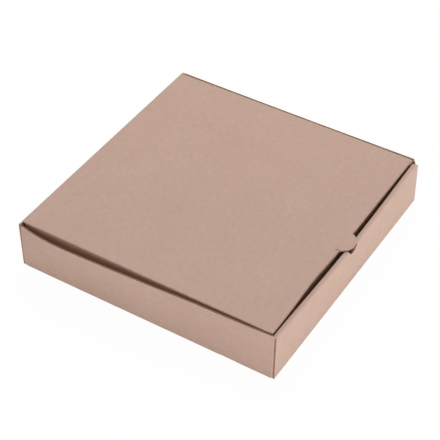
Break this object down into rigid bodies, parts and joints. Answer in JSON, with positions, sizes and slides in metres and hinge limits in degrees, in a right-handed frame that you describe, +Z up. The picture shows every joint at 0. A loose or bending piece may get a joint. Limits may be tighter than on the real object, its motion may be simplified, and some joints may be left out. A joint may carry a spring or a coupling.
{
  "type": "pizza box",
  "caption": "Shallow square folding box of thin kraft corrugated board with a hinged tuck-in lid, rolled front wall and half-moon thumb tab, for carrying a small pizza.",
  "frame": {"origin": "middle of the bottom panel's underside, on the surface the box stands on", "axes": "+Z up, +Y towards the back wall that carries the lid, -Y towards the front wall with the thumb tab, X along the hinge"},
  "size_m": [0.2375, 0.2339, 0.0434],
  "materials": {
    "kraft_board": "matt, unprinted kraft paper on both faces"
  },
  "bodies": {
    "tray": {"tray": "kraft_board"},
    "lid": {"lid": "kraft_board"}
  },
  "joints": [
    {"name": "lid_hinge", "type": "hinge", "parent": "tray", "child": "lid", "pos_m": [0, 0.1124, 0.0435], "axis": [-1, 0, 0], "range_deg": [0, 190]}
  ]
}
